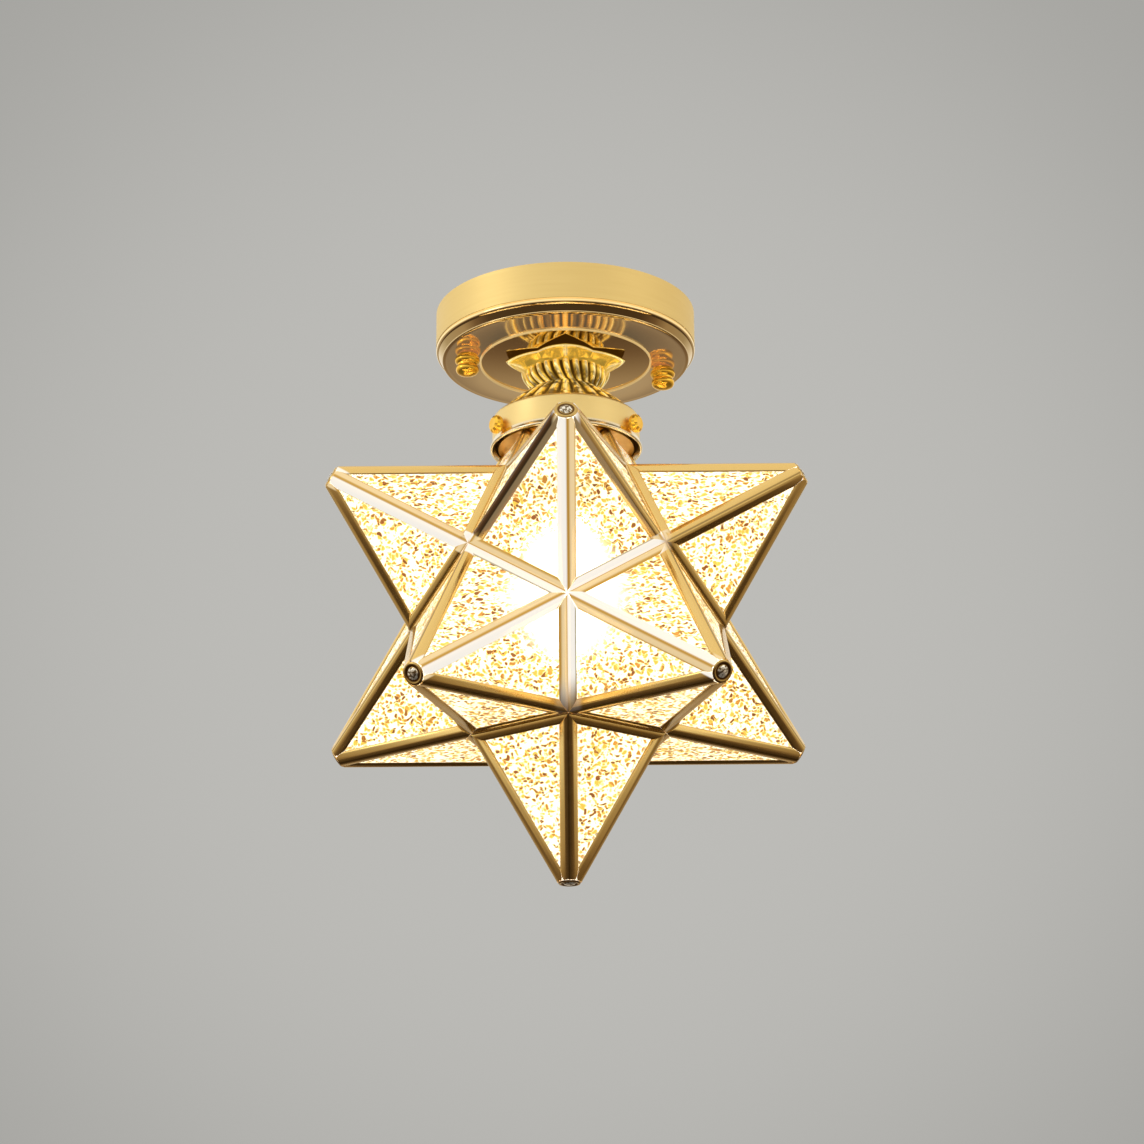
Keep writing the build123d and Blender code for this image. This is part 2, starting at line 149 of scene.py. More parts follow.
class StageSizes(bpy.types.PropertyGroup):
    """Camera, floor and light."""

    distance: size_property("Distance", "Camera to star", 1.344)
    azimuth: number_property("Azimuth", "View angle", LAMP_TURN, subtype="ANGLE")
    elevation: number_property("Elevation", "View height", math.radians(-18.83), subtype="ANGLE")
    roll: number_property("Roll", "Camera roll", math.radians(-0.43), subtype="ANGLE")
    lens: number_property("Lens", "Focal length in millimetres", 103.99)
    shift_x: number_property("Shift X", "Frame shift", 0.00397)
    shift_y: number_property("Shift Y", "Frame shift", 0.03905)
    floor: size_property("Floor", "Height of the floor", -1.7)
    key: number_property("Key light", "Power of the key light", 5.0, unit="POWER")
    fill: number_property("Fill light", "Power of the fill light", 2.0, unit="POWER")


def star_sizes():
    return bpy.context.scene.star_sizes


def paint(name):
    """A finish's colour by name."""
    return tuple(getattr(bpy.context.scene.star_finishes, name))


def pick(sockets, key):
    """A socket by place, or the first one in use by name."""
    if isinstance(key, int):
        return sockets[key]
    return next(s for s in sockets if s.name == key and s.enabled)


def both_sides(operation):
    """The methods of an arithmetic operator with the value on its left, and on its right."""

    def left(self, other):
        return self.math(operation, self, other)

    def right(self, other):
        return self.math(operation, other, self)

    return left, right


class Flow:
    """A value in a node tree. Arithmetic adds Math nodes, and add() any other node."""

    __add__, __radd__ = both_sides("ADD")
    __sub__, __rsub__ = both_sides("SUBTRACT")
    __mul__, __rmul__ = both_sides("MULTIPLY")
    __truediv__, __rtruediv__ = both_sides("DIVIDE")

    def __init__(self, tree, socket=None):
        self.tree = tree
        self.socket = socket

    def add(self, kind, inputs=None, out=0, stops=None, **settings):
        """Any node with its settings and inputs, as the value of one of its outputs."""
        node = self.tree.nodes.new(kind)
        for name, value in settings.items():
            setattr(node, name, value)
        if stops:
            ramp = node.color_ramp.elements
            while len(ramp) < len(stops):
                ramp.new(1.0)
            for element, (position, colour) in zip(ramp, stops):
                element.position = position
                element.color = colour
        for name, value in (inputs or {}).items():
            socket = pick(node.inputs, name)
            if isinstance(value, Flow):
                self.tree.links.new(value.socket, socket)
            else:
                socket.default_value = value
        return Flow(self.tree, pick(node.outputs, out) if node.outputs else None)

    def math(self, operation, first, second=0.0):
        return self.add("ShaderNodeMath", {0: first, 1: second}, operation=operation)

    def __abs__(self):
        return self.math("ABSOLUTE", self)

    def ease(self, low, high):
        """0 below low, 1 above high, smooth between."""
        ends = {"Value": self, "From Min": low, "From Max": high}
        return self.add("ShaderNodeMapRange", ends, "Result", interpolation_type="SMOOTHSTEP")

    def blend(self, first, second):
        """The first colour where this is 0, the second where it is 1."""
        ends = {"Factor": self, "A": first, "B": second}
        return self.add("ShaderNodeMix", ends, "Result", data_type="RGBA")

    def noise(self, scale, detail):
        """Noise at this position, in waves per metre."""
        return self.add("ShaderNodeTexNoise", {"Vector": self, "Scale": scale, "Detail": detail}, "Fac")

    def bump(self, strength, distance):
        """A normal from this height."""
        settings = {"Height": self, "Strength": strength, "Distance": distance}
        return self.add("ShaderNodeBump", settings, "Normal")

    def part(self, axis):
        """One coordinate of this vector."""
        return self.add("ShaderNodeSeparateXYZ", {0: self}, axis)

    def vector(self, operation, other=None, out=0):
        """Vector maths on this vector, alone or with another."""
        inputs = {0: self} if other is None else {0: self, 1: other}
        return self.add("ShaderNodeVectorMath", inputs, out, operation=operation)


def material(name, recipe, constants):
    """A material from a recipe that gives what varies, and the constants of its shader."""
    made = bpy.data.materials.new(name)
    made.use_nodes = True
    made.node_tree.nodes.clear()
    flow = Flow(made.node_tree)
    place = flow.add("ShaderNodeTexCoord", out="Object")
    surface = flow.add("ShaderNodeBsdfPrincipled", {**constants, **recipe(flow, place)}, "BSDF")
    flow.add("ShaderNodeOutputMaterial", {"Surface": surface})
    return made


def along(place, direction):
    """How far a position lies in a direction."""
    return place.vector("DOT_PRODUCT", direction, "Value")


def beside(place, start, end):
    """1 on the strips along the straight line between two points of the star, 0 elsewhere."""
    across = place.vector("SUBTRACT", start).vector("CROSS_PRODUCT", (end - start).normalized())
    return 1 - across.vector("LENGTH", out="Value").ease(STRIP_REACH, STRIP_REACH + 0.0008)


def hammered_glass(flow, place):
    """Hammered sheet painted as lit from within: white with a painted glow, a gold or brown fleck in each
    dimple that bends the light away, and a painted glare round the front corner where no flecks show.
    """
    inner = flow.add("ShaderNodeAttribute", out="Fac", attribute_name="inner")
    bend = flow.add("ShaderNodeTexNoise", {"Vector": place, "Scale": 260, "Detail": 1.0}, "Color")
    sway = {0: bend, 1: (0.004, 0.004, 0.004), 2: place}
    bent = flow.add("ShaderNodeVectorMath", sway, operation="MULTIPLY_ADD")
    drawn = flow.add("ShaderNodeMapping", {"Vector": bent, "Scale": (1.0, 1.0, 1.6)})
    cell = {"Vector": drawn, "Scale": 490}
    apart = flow.add("ShaderNodeTexVoronoi", cell, "Distance")
    chance = flow.add("ShaderNodeTexVoronoi", cell, "Color")
    drift = place.noise(55, 1.0) - 0.5
    size = 0.4 + 0.2 * chance.part("X") + 0.25 * drift
    # Flecks are left out round the front corner: a painted glare where the lamp shows through
    shown = inner * place.vector("DISTANCE", FRONT_CORNER, "Value").ease(0.014, 0.03)
    halo = (1 - apart.ease(size, size + 0.14)) * shown
    core = (1 - apart.ease(size - 0.14, size)) * shown
    hue = chance.part("Y") + 0.5 * drift
    amber = hue.ease(0.3, 0.5).blend(tone("c09628"), tone("9a5c14"))
    brown = hue.ease(0.62, 0.85).blend(amber, tone("562408"))
    warm = halo.blend(paint("glow"), tone("e6d68c"))
    glow_and_flecks = core.blend(warm, brown)
    # The colour is also the emission, a painted glow from the lamp inside
    return {"Base Color": glow_and_flecks, "Emission Color": glow_and_flecks}


def strip_brass(flow, place):
    """Folded strip, dark along the fold and the edges, with painted light where the lamp stands close behind
    and painted shade on the left steep strip.
    """
    across = flow.add("ShaderNodeUVMap", out="UV", uv_map="UVMap").part("X")
    aside = abs(across - 0.5)
    aslant = along(place, RIGHTWARD)
    height = place.part("Z") - STAR_Z
    climb = height - (FRONT_CORNER.z - STAR_Z)

    # Lines of strips about the front corner, each between two tips, on which light from the lamp is painted
    tips = StarShape().apexes()
    left = beside(place, tips["upper_1"], tips["lower_4"])
    right = beside(place, tips["upper_1"], tips["lower_2"])
    falling = beside(place, tips["upper_5"], tips["lower_1"])
    rising = beside(place, tips["lower_5"], tips["upper_2"]) * (1 - aslant.ease(0.036, 0.042))
    upright = 1 - abs(aslant).ease(0.0037, 0.006)
    front = upright * height.ease(-0.055, -0.04) * along(place, FORWARD).ease(0.0, 0.02)
    lamp_glare = flow.math("MAXIMUM", front, flow.math("MAXIMUM", falling, rising))

    # A strip in the painted light has a gold half and a pale half, the gold one with a painted highlight down
    # its middle, which change sides past the corner
    golden = across.ease(0.47, 0.53)
    under = (-1.5 * abs(aslant) - climb).ease(0.0, 0.0004)
    over = climb.ease(0.0, 0.0004) * (1.5 * aslant - climb).ease(0.0, 0.0004)
    turned = flow.math("MAXIMUM", front * under, rising * over)
    gilded = golden + turned - 2 * golden * turned
    flange_highlight = aside.ease(0.06, 0.16) * (1 - aside.ease(0.34, 0.46))
    gold = flange_highlight.blend(tone("bc8e3c"), tone("eed4a2"))
    pale = aside.ease(0.44, 0.48).blend(paint("glow"), tone("b0a890"))
    lit = lamp_glare.blend(BLACK, gilded.blend(pale, gold))

    # The two steep strips below the upper front tip: a painted glint on their inner halves, and the left one
    # painted dark as shade
    steep = height.ease(0.013, 0.016)
    inside = flow.math("MAXIMUM", left * golden, right * (1 - golden)) * steep
    outer = aside.ease(0.2, 0.27)
    shaded = (left * steep).blend(paint("polished"), tone("4a2a10"))

    wear = place.noise(260, 3.0)
    fold = 1 - aside.ease(0.01, 0.05)
    rim = aside.ease(0.455, 0.5)
    dark = fold * 0.6 + rim * (0.3 + 0.5 * wear)
    colour = dark.blend(shaded, paint("patina"))
    # Under the painted light the metal is darkened, so the painted light shows as its emission
    return {
        "Base Color": (0.85 * lamp_glare).blend(colour, tone("4a3a20")),
        "Roughness": 0.16 + 0.12 * wear + 0.15 * dark,
        "Emission Color": (inside * (0.1 + 0.9 * outer)).blend(lit, tone("8c7654")),
    }


def tier_radius():
    """Radius of the canopy's shallow inner tier, which ends just inside the knobs."""
    return abs(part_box("knob_left")[1].x) - 0.0005


def turned_lines(place, fineness):
    """Fine lines round the axis, such as a lathe leaves."""
    return place.add("ShaderNodeMapping", {"Vector": place, "Scale": (40, 40, fineness)}).noise(1.0, 3.0)


def canopy_brass(flow, place):
    """Spun brass: satin wall, mirror underside, a painted highlight along the bead and the lip, and a painted
    sheen on the flat ring.
    """
    edge = level("canopy", 0) + 0.0064
    tier = tier_radius()
    rim = radius("canopy") - 0.0042
    height = place.part("Z")
    out = place.vector("MULTIPLY", (1, 1, 0)).vector("LENGTH", out="Value")
    wall = height.ease(edge, edge + 0.0002)
    # Bead and lip are masks for painted highlights, given as emission
    bead = height.ease(edge - 0.0018, edge - 0.0012) * (1 - wall)
    lip = 1 - abs(out - tier + 0.0003).ease(0.00035, 0.0005)
    lines = flow.math("MAXIMUM", lip, bead)
    ring = out.ease(tier, tier + 0.0004) * (1 - out.ease(rim, rim + 0.0006))
    # A painted sheen on the flat ring, given as emission
    painted_sheen = (ring * (1 - wall)).blend(BLACK, tone("6c6450"))
    grain = turned_lines(place, 900)
    cloud = place.noise(35, 2.0)
    mirror = (0.4 * cloud).blend(tone("e8cc94"), tone("d8b880"))
    satin = (0.5 * grain).blend(paint("satin"), tone("ecd088"))
    return {
        "Base Color": wall.blend(mirror, satin),
        "Emission Color": lines.blend(painted_sheen, tone("e8cc8c")),
        "Roughness": 0.05 + 0.03 * cloud + wall * (0.4 + 0.1 * grain),
    }


def satin_brass(flow, place):
    """Satin cup with fine turned lines, and a painted highlight along its lip: paler and smoother there."""
    grain = turned_lines(place, 1100)
    cloud = place.noise(45, 2.0)
    low = level("gallery", 0)
    # The lip is painted paler and smoother as a highlight
    lip = 1 - place.part("Z").ease(low + 0.0024, low + 0.0034)
    wall = (0.5 * cloud).blend(paint("satin"), tone("f0d89c"))
    return {
        "Base Color": (0.8 * lip).blend(wall, paint("pale")),
        "Roughness": 0.36 + 0.12 * grain - 0.24 * lip,
    }


def gilt_cast(flow, place):
    """Gilded casting with painted shade in the hollows between its flutes, in patches that spread towards the
    bottom of the knop, a painted highlight on the crests, and a painted glow as its emission.
    """
    ridge = flow.add("ShaderNodeAttribute", out="Fac", attribute_name="ridge")
    cloud = place.noise(300, 3.0)
    # Towards the bottom of the knop the painted shade spreads in patches
    under = 1 - place.part("Z").ease(level("neck_knop", 0), level("neck_knop", 1))
    patchy_shade = place.noise(230, 2.0).ease(0.42, 0.6) * (0.15 + 0.75 * under)
    hollow = 0.95 * (1 - ridge.ease(0.45, 0.9) * (1 - patchy_shade))
    # Crests are painted paler as a highlight
    highlight_colour = (0.8 * ridge.ease(0.88, 1.0)).blend(paint("gilt"), tone("fff2b8"))
    colour = hollow.blend(highlight_colour, tone("3a1c02"))
    # The colour is also the emission, a painted glow from the lamp
    return {
        "Base Color": colour,
        "Emission Color": colour,
        "Roughness": 0.12 + 0.1 * cloud,
        "Normal": place.noise(900, 2.0).bump(0.12, 0.0002),
    }


def plain_gilt(flow, place):
    """Gilded castings that have no flutes, with a faint painted glow as their emission."""
    cloud = place.noise(300, 3.0)
    colour = (0.8 * cloud).blend(paint("gilt"), tone("d8941e"))
    return {
        "Base Color": colour,
        "Emission Color": colour,
        "Roughness": 0.1 + 0.12 * cloud,
        "Normal": place.noise(700, 2.0).bump(0.1, 0.0002),
    }


def zinc_steel(flow, place):
    """Zinc-plated steel with a fine spangle."""
    spangle = place.noise(420, 3.0)
    return {
        "Base Color": spangle.blend(tone("8f9294"), tone("c4c8c9")),
        "Roughness": 0.28 + 0.22 * spangle,
        "Normal": spangle.bump(0.08, 0.0002),
    }


def clouded(first, second, scale, rough, spread, detail=3.0, lit=False, grain=None):
    """A recipe for a plain finish, whose colour and roughness drift together, with a fine grain if any."""

    def recipe(flow, place):
        cloud = place.noise(scale, detail)
        colour = cloud.blend(tone(first), tone(second))
        made = {"Base Color": colour, "Roughness": rough + spread * cloud}
        if lit:
            made["Emission Color"] = colour
        if grain:
            made["Normal"] = place.noise(grain, 2.0).bump(0.1, 0.0001)
        return made

    return recipe


def moulded(first, second):
    """A recipe for moulded plastic between two colours."""
    return clouded(first, second, 150, 0.35, 0.2, grain=1500)


def solder(flow, place):
    """Solder bead with a painted glint on its top, in a ring painted dark as shade in a hollow, with a pale
    rim.
    """
    ridge = flow.add("ShaderNodeAttribute", out="Fac", attribute_name="ridge")
    cloud = place.noise(900, 2.0)
    highlight_colour = cloud.ease(0.42, 0.58).blend(tone("6e5a3c"), tone("eae4d4"))
    raised = ridge.ease(0.8, 0.95).blend(tone("c8a866"), highlight_colour)
    return {
        "Base Color": ridge.ease(0.1, 0.6).blend(tone("6a4a20"), raised),
        "Emission Color": ridge.ease(0.75, 1.0).blend(BLACK, highlight_colour),
        "Roughness": 0.1 + 0.1 * cloud,
        "Normal": cloud.bump(0.1, 0.0002),
    }


MATERIALS = {}


def metal(glow=0.0):
    """Constants of a metal's shader; glow is the strength of its emission, a painted glow."""
    return {"Metallic": 1.0, "Emission Strength": glow}


def make_materials():
    """All finishes by name, each from its recipe and its shader's constants."""
    sheet = {"Roughness": 0.3, "Transmission Weight": 0.45, "IOR": 1.25, "Emission Strength": 0.4}
    glaze = clouded("ece8dc", "f6f3ea", 90, 0.1, 0.12, 2.0)
    frost = clouded("fff2d8", "fffaf0", 120, 0.4, 0.1, 2.0, lit=True)
    stick = clouded("ffd890", "fff0c8", 800, 0.5, 0.1, 2.0, lit=True)
    # Emission on glass and metals below is painted light; on the lamp and filament it is the lamp's own
    table = {
        "hammered_glass": (hammered_glass, sheet),
        "strip_brass": (strip_brass, metal(0.9)),
        "canopy_brass": (canopy_brass, metal(0.45)),
        "satin_brass": (satin_brass, metal()),
        "gilt_cast": (gilt_cast, metal(0.5)),
        "plain_gilt": (plain_gilt, metal(0.12)),
        "zinc_steel": (zinc_steel, metal()),
        "bare_brass": (clouded("c9a256", "a87a34", 180, 0.22, 0.2), metal()),
        "cap_alloy": (clouded("b4b4b0", "d8d8d4", 220, 0.22, 0.16), metal()),
        "solder": (solder, metal(0.12)),
        "phenolic": (moulded("0c0b0a", "1c1917"), {}),
        "white_plastic": (moulded("dcdad2", "ecebe6"), {}),
        "brown_insulation": (moulded("4a2a14", "5c3820"), {}),
        "blue_insulation": (moulded("1c3c88", "2c50a0"), {}),
        "porcelain": (glaze, {"Coat Weight": 0.6}),
        "lamp_glass": (frost, {"Emission Strength": 13.0}),
        "filament": (stick, {"Emission Strength": 30.0}),
        "stem_glass": (glaze, {"Transmission Weight": 0.8, "IOR": 1.45}),
        "pale_floor": (clouded("b8b7b2", "c2c1bc", 3, 0.7, 0.1, 2.0), {}),
    }
    for name, (recipe, constants) in table.items():
        MATERIALS[name] = material(name, recipe, constants)


def linked(name, data):
    """A new object in the scene."""
    made = bpy.data.objects.new(name, data)
    bpy.context.scene.collection.objects.link(made)
    return made


def mesh_object(name, points, faces, finish, smooth=35.0, across=None, **shares):
    """A mesh at the origin, smooth but for edges over an angle, with a UV and shares of its points."""
    mesh = bpy.data.meshes.new(name)
    mesh.from_pydata([tuple(p) for p in points], [], faces)
    mesh.materials.append(MATERIALS[finish])
    if across is not None:
        layer = mesh.uv_layers.new(name="UVMap")
        for loop in mesh.loops:
            layer.data[loop.index].uv = across[loop.vertex_index]
    for share, values in shares.items():
        mesh.attributes.new(share, "FLOAT", "POINT").data.foreach_set("value", values)
    mesh.shade_smooth()
    mesh.set_sharp_from_angle(angle=math.radians(smooth))
    return linked(name, mesh)


def settle(piece, body, slot, *nodes):
    """A finished piece rides on its body and stands for its CAD nodes."""
    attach(piece, body)
    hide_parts(*nodes)


def dress(finish, *nodes):
    """Gives shown CAD nodes their finish."""
    for node in nodes:
        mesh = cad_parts[node].data
        mesh.materials.clear()
        mesh.materials.append(MATERIALS[finish])


def skin(rows):
    """Points and faces over closed loops or single points, row by row, the last joined to the first."""
    points, faces, loops = [], [], []
    for row in rows:
        loops.append(list(range(len(points), len(points) + len(row))))
        points.extend(row)
    steps = max(len(row) for row in rows)
    for above, below in zip(loops, loops[1:] + loops[:1]):
        if len(above) == len(below) == 1:
            continue
        for k in range(steps):
            a, b = above[k % len(above)], below[k % len(below)]
            c, d = below[(k + 1) % len(below)], above[(k + 1) % len(above)]
            faces.append([a, b, c, d] if a != d and b != c else [a, b, c] if a == d else [a, b, d])
    return points, faces


def around(r, z, steps, place=Matrix.Identity(4)):
    """A loop of points at a radius and height, or one point on the axis."""
    if r < 1e-7:
        return [place @ Vector((0, 0, z))]
    turns = [math.tau * k / steps for k in range(steps)]
    return [place @ Vector((r * math.cos(t), r * math.sin(t), z)) for t in turns]


def lathe(outline, steps, place=Matrix.Identity(4)):
    """Points and faces of an outline of radius and height, turned about Z. It runs down the outside first."""
    return skin([around(r, z, steps, place) for r, z in outline])


def arc(centre, size, start, end, steps):
    """Points of an arc in an outline, with its angles in degrees."""
    turns = [math.radians(start + (end - start) * i / steps) for i in range(steps + 1)]
    return [(centre[0] + size * math.cos(t), centre[1] + size * math.sin(t)) for t in turns]


class NodeTree:
    """A geometry tree with named inputs."""

    def __init__(self, name, inputs):
        self.tree = bpy.data.node_groups.new(name, "GeometryNodeTree")
        self.keys = {}
        for label, kind in {"Geometry": "Geometry", **inputs}.items():
            made = self.tree.interface.new_socket(label, in_out="INPUT", socket_type=f"NodeSocket{kind}")
            self.keys[label] = made.identifier
        self.tree.interface.new_socket("Geometry", in_out="OUTPUT", socket_type="NodeSocketGeometry")
        self.entry = self.tree.nodes.new("NodeGroupInput")

    def value(self, name):
        return Flow(self.tree, pick(self.entry.outputs, name))

    def finish(self, geometry, finish):
        """Realises instances, sets the material and closes the tree."""
        flow = Flow(self.tree)
        real = flow.add("GeometryNodeRealizeInstances", {"Geometry": geometry})
        dressed = flow.add("GeometryNodeSetMaterial", {"Geometry": real, "Material": MATERIALS[finish]})
        flow.add("NodeGroupOutput", {"Geometry": dressed})

    def apply(self, piece, **values):
        """Runs the tree on a piece and keeps the result as its plain mesh."""
        modifier = piece.modifiers.new(self.tree.name, "NODES")
        modifier.node_group = self.tree
        for name, value in values.items():
            modifier[self.keys[name]] = value
        graph = bpy.context.evaluated_depsgraph_get()
        graph.update()
        mesh = bpy.data.meshes.new_from_object(piece.evaluated_get(graph))
        piece.modifiers.remove(modifier)
        piece.data = mesh
        return piece


def hammer_tree():
    """Presses dimples into a pane's face along its normal, fading out at the pane's border."""
    made = NodeTree("hammered_sheet", {"Dimple width": "Float", "Dimple depth": "Float"})
    flow = Flow(made.tree)
    place = flow.add("GeometryNodeInputPosition")
    scale = 1.0 / made.value("Dimple width")
    settings = {"Vector": place, "Scale": scale, "Smoothness": 0.6}
    cells = flow.add("ShaderNodeTexVoronoi", settings, "Distance", feature="SMOOTH_F1")
    face = flow.add("GeometryNodeInputNamedAttribute", {"Name": "face"}, "Attribute", data_type="FLOAT")
    push = (cells - 0.5) * made.value("Dimple depth") * face
    normal = flow.add("GeometryNodeInputNormal")
    offset = flow.add("ShaderNodeVectorMath", {0: normal, "Scale": push}, operation="SCALE")
    moved = flow.add("GeometryNodeSetPosition", {"Geometry": made.value("Geometry"), "Offset": offset})
    made.finish(moved, "hammered_glass")
    return made


def repeat_tree(name, finish):
    """Sets a copy of one object on each point, turned by the point's own turn."""
    made = NodeTree(name, {"Copy": "Object"})
    flow = Flow(made.tree)
    copy = flow.add("GeometryNodeObjectInfo", {"Object": made.value("Copy")}, "Geometry")
    stored = {"Name": "turn"}
    turn = flow.add("GeometryNodeInputNamedAttribute", stored, "Attribute", data_type="FLOAT_VECTOR")
    settings = {"Points": made.value("Geometry"), "Instance": copy, "Rotation": turn}
    copies = flow.add("GeometryNodeInstanceOnPoints", settings)
    made.finish(copies, finish)
    return made


def repeated(name, tree, master, places):
    """A piece of one master at many places, each a matrix with no scale. The master goes."""
    mesh = bpy.data.meshes.new(name)
    mesh.from_pydata([p.to_translation() for p in places], [], [])
    turns = [value for p in places for value in p.to_euler()]
    mesh.attributes.new("turn", "FLOAT_VECTOR", "POINT").data.foreach_set("vector", turns)
    piece = tree.apply(linked(name, mesh), Copy=master)
    pattern = master.data
    bpy.data.objects.remove(master)
    bpy.data.meshes.remove(pattern)
    return piece


class StarShape:
    """Sizes that follow from the star's inner edge, in the frame of a point whose axis is +Z."""

    def __init__(self):
        s = star_sizes()
        self.base_apothem = s.edge / (2 * math.tan(math.pi / 5))
        self.base_r = s.edge / (2 * math.sin(math.pi / 5))
        self.base_z = s.edge * GOLDEN**2 / (2 * math.sqrt(3 - GOLDEN))
        self.apex_z = self.base_z + 2 * self.base_apothem
        self.valley_r = s.edge * GOLDEN**2 / 2
        self.slope = self.base_r / (self.apex_z - self.base_z)
        self.tip_z = self.apex_z - s.tip / 2 / self.slope
        self.neck_z = level("panes_top", 1) - STAR_Z
        self.place = Matrix.Translation((0, 0, STAR_Z)) @ Matrix.Rotation(LAMP_TURN, 4, "Z")

    def tips(self):
        """Names and unit directions of the twelve points."""
        high = 1 / math.sqrt(5)
        found = {"top": Vector((0, 0, 1)), "bottom": Vector((0, 0, -1))}
        for ring, rise, first in (("upper", high, -90), ("lower", -high, -54)):
            for i in range(5):
                turn = math.radians(first + 72 * i)
                x, y = 2 * high * math.cos(turn), 2 * high * math.sin(turn)
                found[f"{ring}_{i + 1}"] = Vector((x, y, rise))
        return found

    def apexes(self):
        """Where the ridges of each point would meet."""
        return {name: self.place @ (tip * self.apex_z) for name, tip in self.tips().items()}

    def points(self):
        """The place of each point: its axis becomes +Z, and +X runs towards one of its neighbours."""
        tips = self.tips()
        found = {}
        for name, tip in tips.items():
            first = next(t for t in tips.values() if neighbours(t, tip))
            found[name] = self.place @ aligned(first - tip * first.dot(tip), tip)
        return found

    def valleys(self):
        """The place of each inner edge: +Z through its middle, +X along it."""
        pairs = itertools.combinations(self.tips().values(), 2)
        return [self.place @ aligned(a.cross(b), a + b) for a, b in pairs if neighbours(a, b)]


def neighbours(tip, other):
    """Whether two unit directions are those of points side by side, neither the same nor opposite."""
    return 0.1 < tip.dot(other) < 0.9


def aligned(along_x, along_z):
    """A turn that takes +X and +Z to two directions at right angles."""
    x, z = along_x.normalized(), along_z.normalized()
    return Matrix((x, z.cross(x), z)).transposed().to_4x4()


def fifths(start=0.0):
    return [Matrix.Rotation(start + FIFTH * i, 4, "Z") for i in range(5)]


def pane_set(name, place, shape, cut_z=None):
    """Five panes of a point. Each has a fine grid on its outer face and plain edges and back."""
    s = star_sizes()
    half_tip = math.radians(18)
    meet = s.ridge_inset / math.sin(half_tip)
    start = (shape.apex_z - shape.tip_z + s.mitre) * SLANT
    back_start = start
    if cut_z is not None:
        start = (shape.apex_z - cut_z) * SLANT - s.seat / 2
        back_start = start - s.glass / 2
    end = shape.base_apothem * 2 * SLANT - s.valley_inset
    down = Vector((1, 0, -2)).normalized()
    out = Vector((2, 0, 1)).normalized()

    def half_width(y):
        return (y - meet) * math.tan(half_tip)

    def at(across, y, depth):
        return Vector((0, across * half_width(y), shape.apex_z)) + down * y - out * (s.seat + depth)

    points, faces, face_share, inner = [], [], [], []
    for turn in fifths():
        to = place @ turn
        rows = []
        for i in range(s.grid + 1):
            share = i / s.grid
            y = start + (end - start) * share
            count = max(1, round(s.grid * share)) if cut_z is None else s.grid
            row = []
            half = half_width(y)
            for k in range(count + 1):
                side = 2 * k / count - 1
                row.append(len(points))
                points.append(to @ at(side, y, 0.0))
                margin = min(half - abs(side) * half, end - y, y - start + s.clear)
                face_share.append(1.0 if 0 < i < s.grid and 0 < k < count else 0.0)
                inner.append(min(1.0, max(0.0, margin / s.clear - 0.7)))
            rows.append(row)
        for high, low in zip(rows, rows[1:]):
            faces.extend(stitch(high, low))
        back = []
        for across, y in ((-1, back_start), (-1, end), (1, end), (1, back_start)):
            back.append(len(points))
            points.append(to @ at(across, y, s.glass))
            face_share.append(0.0)
            inner.append(0.0)
        faces.append(back[::-1])
        edges = ([r[0] for r in rows], rows[-1], [r[-1] for r in rows[::-1]], rows[0][::-1])
        for i, edge in enumerate(edges):
            faces.append([back[i], back[(i + 1) % 4]] + edge[::-1])
    return mesh_object(name, points, faces, "hammered_glass", smooth=40.0, face=face_share, inner=inner)


def stitch(high, low):
    """Triangles between two rows of points that may differ in number."""
    faces = []
    i = k = 0
    while i < len(high) - 1 or k < len(low) - 1:
        a = (i + 1) / max(1, len(high) - 1)
        b = (k + 1) / max(1, len(low) - 1)
        if k < len(low) - 1 and (i == len(high) - 1 or b <= a):
            faces.append([high[i], low[k], low[k + 1]])
            k += 1
        else:
            faces.append([high[i], low[k], high[i + 1]])
            i += 1
    return faces


def strip_section(side):
    """Right flange of a folded section, from the fold outwards: points, and their shares of the width."""
    s = star_sizes()
    flange = Vector((math.sin(FOLD), -side * math.cos(FOLD)))
    out = Vector((side * math.cos(FOLD), math.sin(FOLD)))
    crease = Vector((0, s.crease / math.sin(FOLD)))
    lip = flange * s.strip_w + out * s.strip_edge
    crown = flange * (s.strip_w / 2) + out * s.strip_t
    rise = crown - (lip + crease) / 2
    points = [(Vector((0, 0)), 0.5)]
    for share in (0, 0.04, 0.1, 0.18, 0.3, 0.5, 0.7, 0.82, 0.9, 0.96, 1):
        bulge = 1 - abs(2 * share - 1) ** 3.5
        points.append((crease + (lip - crease) * share + rise * bulge, 0.5 + 0.5 * share))
    points.append((flange * s.strip_w, 1.0))
    return points


def strip_mesh(section, origin, across, out, run, limits):
    """A strip along run between planes. Each limit is a point and a normal, and keeps what lies along it."""
    right = section[1:]
    left = [(Vector((-p.x, p.y)), 1 - u) for p, u in reversed(right[1:])]
    ring = right + section[:1] + left
    points, uvs = [], []
    for p, u in ring:
        base = origin + across * p.x + out * p.y
        low, high = -1.0, 1.0
        for where, keep in limits:
            rate = run.dot(keep)
            stop = (where - base).dot(keep) / rate
            if rate > 0:
                low = max(low, stop)
            else:
                high = min(high, stop)
        for stop in (low, max(low, high)):
            points.append(base + run * stop)
            uvs.append((u, stop / UV_LENGTH))
    count = len(ring)
    root = len(right)
    faces = [[2 * i, 2 * i + 1, 2 * ((i + 1) % count) + 1, 2 * ((i + 1) % count)] for i in range(count)]
    for half in (list(range(root + 1)), list(range(root, count)) + [0]):
        faces.append([2 * i for i in half])
        faces.append([2 * i + 1 for i in reversed(half)])
    return mesh_object("strip_master", points, faces, "strip_brass", smooth=50.0, across=uvs)


def wedge(corner, inward, axis, half_angle):
    """Two planes about an axis through a corner, open towards the inward direction."""
    gap = star_sizes().mitre / 2
    middle = (inward - axis * inward.dot(axis)).normalized()
    aside = axis.cross(middle) * math.cos(half_angle)
    sides = [middle * math.sin(half_angle) + aside * side for side in (-1, 1)]
    return [(corner + keep * gap, keep) for keep in sides]


